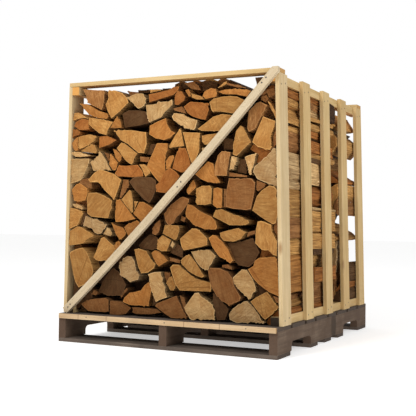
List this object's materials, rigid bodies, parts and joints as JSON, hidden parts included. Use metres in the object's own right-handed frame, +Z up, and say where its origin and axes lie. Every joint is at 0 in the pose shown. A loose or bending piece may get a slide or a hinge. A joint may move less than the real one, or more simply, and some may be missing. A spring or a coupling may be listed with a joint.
{
  "type": "firewood crate on pallet",
  "caption": "Split firewood stacked in an open slatted softwood crate with diagonal braces, standing on a weathered notched-stringer pallet.",
  "frame": {"origin": "middle of the whole object's footprint, on the ground under the pallet", "axes": "+X right and +Y from the braced front to the back, as the front is looked at; +Z up"},
  "size_m": [1.028, 1.2292, 1.1263],
  "materials": {
    "weathered_pallet_wood": "old rough-sawn board, grey-brown and dirty",
    "new_pine": "new rough-sawn softwood, pale yellow",
    "pale_pine": "new rough-sawn softwood, cream",
    "split_firewood": "dry split hardwood, orange tan, saw-cut ends and torn sides"
  },
  "bodies": {
    "root": {"back_brace": "pale_pine", "back_log_row": "split_firewood", "back_top_board": "new_pine", "back_top_log_1": "split_firewood", "back_top_log_2": "split_firewood", "back_top_log_3": "split_firewood", "back_top_log_4": "split_firewood", "back_top_log_5": "split_firewood", "back_top_log_6": "split_firewood", "back_top_log_7": "split_firewood", "bottom_board_1": "weathered_pallet_wood", "bottom_board_2": "weathered_pallet_wood", "bottom_board_3": "weathered_pallet_wood", "bottom_board_4": "weathered_pallet_wood", "bottom_board_5": "weathered_pallet_wood", "deck_board_1": "weathered_pallet_wood", "deck_board_2": "weathered_pallet_wood", "deck_board_3": "weathered_pallet_wood", "deck_board_4": "weathered_pallet_wood", "deck_board_5": "weathered_pallet_wood", "deck_board_6": "weathered_pallet_wood", "deck_board_7": "weathered_pallet_wood", "deck_board_8": "weathered_pallet_wood", "front_batten": "new_pine", "front_brace": "pale_pine", "front_log_row": "split_firewood", "front_top_board": "new_pine", "front_top_log_1": "split_firewood", "front_top_log_2": "split_firewood", "front_top_log_3": "split_firewood", "front_top_log_4": "split_firewood", "front_top_log_5": "split_firewood", "front_top_log_6": "split_firewood", "front_top_log_7": "split_firewood", "front_top_log_8": "split_firewood", "left_bottom_rail": "new_pine", "left_slat_1": "new_pine", "left_slat_2": "new_pine", "left_slat_3": "new_pine", "left_slat_4": "new_pine", "left_slat_5": "new_pine", "left_stringer": "weathered_pallet_wood", "left_top_rail": "new_pine", "middle_log_row": "split_firewood", "middle_stringer": "weathered_pallet_wood", "middle_top_log_1": "split_firewood", "middle_top_log_2": "split_firewood", "middle_top_log_3": "split_firewood", "middle_top_log_4": "split_firewood", "middle_top_log_5": "split_firewood", "middle_top_log_6": "split_firewood", "middle_top_log_7": "split_firewood", "right_bottom_rail": "new_pine", "right_slat_1": "new_pine", "right_slat_2": "new_pine", "right_slat_3": "new_pine", "right_slat_4": "new_pine", "right_slat_5": "new_pine", "right_stringer": "weathered_pallet_wood", "right_top_rail": "new_pine"}
  },
  "joints": []
}
